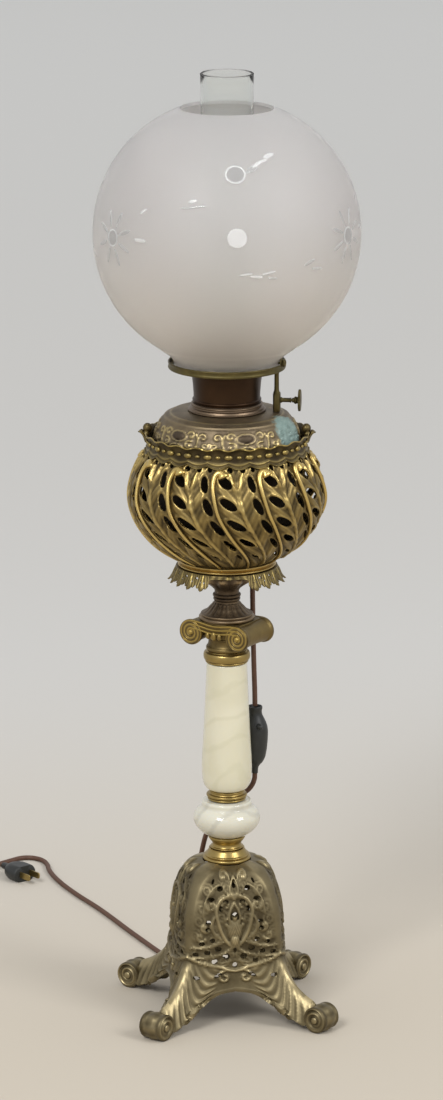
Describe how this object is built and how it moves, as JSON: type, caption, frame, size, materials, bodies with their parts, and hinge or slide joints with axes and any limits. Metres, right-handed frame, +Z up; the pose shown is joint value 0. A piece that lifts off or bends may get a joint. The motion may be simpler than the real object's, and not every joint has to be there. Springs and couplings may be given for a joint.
{
  "type": "banquet lamp",
  "caption": "Tall table lamp: pierced bowl with oil font and burner on a stone column and footed cast base, with ball glass shade, chimney, cord, in-line switch and plug.",
  "frame": {"origin": "middle of the base on the floor, under the lamp's axis", "axes": "+Z up along the lamp's axis, front of the base towards -Y"},
  "size_m": [0.3892, 0.6497, 0.9278],
  "materials": {
    "aged_bronze": "dull aged cast bronze finish with rubbed high spots",
    "bright_brass": "polished with light tarnish",
    "bowl_brass": "satin golden brass, dark in the recesses",
    "stem_bronze": "dark bronze patina",
    "burner_brown": "very dark brown patina",
    "shoulder_brass": "brown tarnish with a patch of verdigris",
    "cream_onyx": "polished, faintly banded",
    "white_onyx": "polished",
    "frosted_glass": "frosted, with cut and polished flowers",
    "clear_glass": "clear",
    "plain_steel": "plain",
    "white_porcelain": "glazed",
    "brown_cord": "matt",
    "black_plastic": "moulded"
  },
  "bodies": {
    "stand": {"base_casting": "aged_bronze", "base_collar": "bright_brass", "knop_cup": "bright_brass", "onyx_knop": "white_onyx", "lower_column_ring": "bright_brass", "onyx_column": "cream_onyx", "upper_column_ring": "bright_brass", "stem_plate": "stem_bronze", "ionic_capital": "stem_bronze", "stem_baluster": "stem_bronze", "tie_rod": "plain_steel", "base_nut": "plain_steel", "base_washer": "plain_steel", "bowl_nut": "bright_brass", "bowl_pan": "bowl_brass", "bowl_skirt": "bright_brass", "bowl_band": "bright_brass", "pierced_bowl": "bowl_brass", "bowl_gallery": "bowl_brass", "font_tank": "shoulder_brass", "draught_tube": "plain_steel", "font_shoulder": "shoulder_brass", "filler_neck": "bright_brass", "burner_collar": "stem_bronze", "burner_body": "burner_brown", "chimney_gallery": "bright_brass", "shade_ring": "bright_brass", "rack_housing": "bright_brass", "lamp_socket": "white_porcelain", "bulb_base": "bright_brass", "bulb_glass": "clear_glass", "cord_bush": "black_plastic", "socket_lead": "brown_cord", "upper_cord": "brown_cord", "switch_front": "black_plastic", "switch_back": "black_plastic", "switch_screw": "plain_steel", "lower_cord": "brown_cord", "cord_coil": "brown_cord", "plug_cord": "brown_cord", "plug_body": "black_plastic", "plug_blade_left": "bright_brass", "plug_blade_right": "bright_brass"},
    "globe": {"globe_shade": "frosted_glass", "globe_neck": "frosted_glass"},
    "glass_chimney": {"chimney": "clear_glass"},
    "shade_screw": {"ring_screw": "bright_brass"},
    "wick_knob": {"winder_knob": "bright_brass"},
    "wick_rack": {"rack_rod": "plain_steel", "wick_carrier": "plain_steel"},
    "oil_cap": {"filler_cap": "bright_brass"},
    "push_bar": {"switch_bar": "black_plastic"}
  },
  "joints": [
    {"name": "globe_lift", "type": "slide", "parent": "stand", "child": "globe", "axis": [0, 0, 1], "range_m": [0, 0.3]},
    {"name": "chimney_lift", "type": "slide", "parent": "stand", "child": "glass_chimney", "axis": [0, 0, 1], "range_m": [0, 0.3]},
    {"name": "shade_screw_out", "type": "slide", "parent": "stand", "child": "shade_screw", "axis": [0.878, -0.4787, 0], "range_m": [0, 0.0035]},
    {"name": "wick_knob_turn", "type": "hinge", "parent": "stand", "child": "wick_knob", "pos_m": [0.04704, -0.00851, 0.61309], "axis": [-0.9703, 0.2419, 0], "range_deg": [0, 429.8]},
    {"name": "wick_lift", "type": "slide", "parent": "stand", "child": "wick_rack", "axis": [0, 0, 1], "range_m": [0, 0.018]},
    {"name": "oil_cap_lift", "type": "slide", "parent": "stand", "child": "oil_cap", "axis": [0, 0, 1], "range_m": [0, 0.025]},
    {"name": "push_bar_slide", "type": "slide", "parent": "stand", "child": "push_bar", "axis": [-0.1977, 0.9803, 0], "range_m": [0, 0.005]}
  ],
  "couplings": [
    {"joint": "wick_knob_turn", "follows": "wick_lift", "rad_per_m": 416.67}
  ]
}
